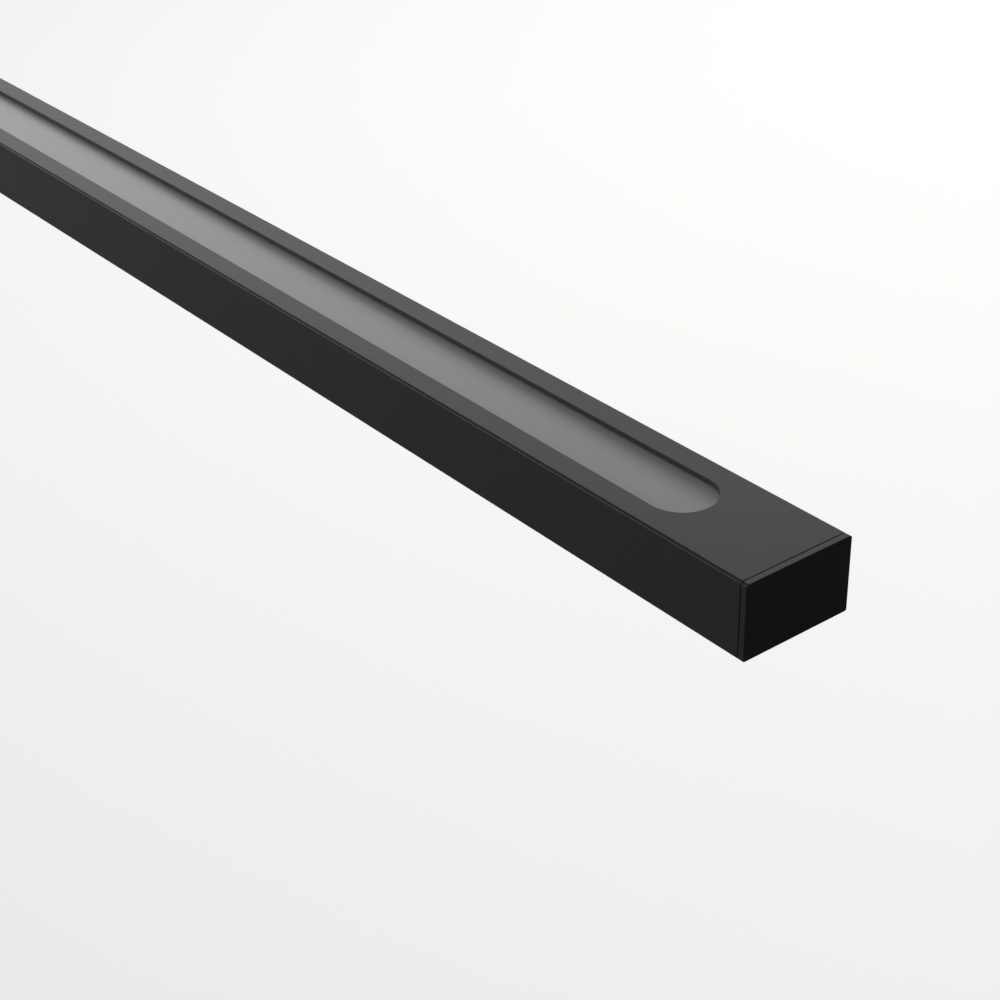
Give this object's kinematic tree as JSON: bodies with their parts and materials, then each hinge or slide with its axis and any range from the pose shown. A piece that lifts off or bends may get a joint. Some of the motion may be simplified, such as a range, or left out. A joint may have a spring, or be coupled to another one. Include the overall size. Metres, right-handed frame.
{
  "type": "vanity light bar",
  "caption": "Slim rectangular wall light bar with a long round-ended frosted light window in its front, flat end caps and a slotted wall bracket in its back.",
  "frame": {"origin": "middle of the wall face, where the bar's back edges and its bracket meet the wall", "axes": "+X along the bar, +Y across its width, +Z out of the wall towards the front panel"},
  "size_m": [0.9, 0.05, 0.031],
  "materials": {
    "satin_black_shell": "satin black coated aluminium",
    "black_foam": "closed-cell black foam",
    "opal_diffuser": "frosted opal acrylic",
    "lamp_board_white": "white solder mask on aluminium-core board",
    "lamp_chip": "phosphor lamp packages",
    "white_nylon": "moulded white nylon",
    "zinc_steel": "zinc-plated steel",
    "black_oxide_steel": "black oxide steel",
    "black_rubber": "moulded black rubber",
    "green_laminate": "green solder mask on glass laminate",
    "yellow_tape": "taped transformer winding on a black bobbin",
    "ferrite": "dark ferrite and enamelled winding",
    "capacitor_epoxy": "dipped film capacitor shell",
    "chip_epoxy": "black moulded epoxy",
    "fuse_shell": "moulded fuse shell",
    "drum_sleeve": "sleeved aluminium capacitor can",
    "brass": "plated brass",
    "tinned_copper": "tinned copper",
    "brown_insulation": "brown lead insulation",
    "blue_insulation": "blue lead insulation",
    "green_yellow_insulation": "green and yellow lead insulation",
    "red_insulation": "red lead insulation",
    "black_insulation": "black lead insulation"
  },
  "bodies": {
    "root": {"housing": "satin_black_shell", "front_panel": "satin_black_shell", "end_cap_left": "satin_black_shell", "end_cap_right": "satin_black_shell", "light_seal": "black_foam", "end_seal_left": "black_foam", "end_seal_right": "black_foam", "diffuser": "opal_diffuser", "lamp_board_1": "lamp_board_white", "lamp_board_2": "lamp_board_white", "lamp_board_3": "lamp_board_white", "lamp_chips_1": "lamp_chip", "lamp_chips_2": "lamp_chip", "lamp_chips_3": "lamp_chip", "board_links": "white_nylon", "driver_base": "white_nylon", "driver_cover": "white_nylon", "terminal_block": "white_nylon", "wall_bracket": "zinc_steel", "board_screws": "zinc_steel", "end_cap_screws": "zinc_steel", "driver_screws": "zinc_steel", "terminal_block_screws": "zinc_steel", "terminal_clamp_screws": "zinc_steel", "earth_screw": "zinc_steel", "bracket_set_screws": "black_oxide_steel", "cable_grommet": "black_rubber", "lead_grommet": "black_rubber", "driver_board": "green_laminate", "driver_transformer": "yellow_tape", "driver_chokes": "ferrite", "driver_film_capacitors": "capacitor_epoxy", "driver_switching_chips": "chip_epoxy", "driver_fuse": "fuse_shell", "driver_capacitor_drums": "drum_sleeve", "terminal_sleeves": "brass", "earth_tag": "tinned_copper", "live_lead": "brown_insulation", "neutral_lead": "blue_insulation", "earth_lead": "green_yellow_insulation", "lamp_plus_lead": "red_insulation", "lamp_minus_lead": "black_insulation"}
  },
  "joints": []
}
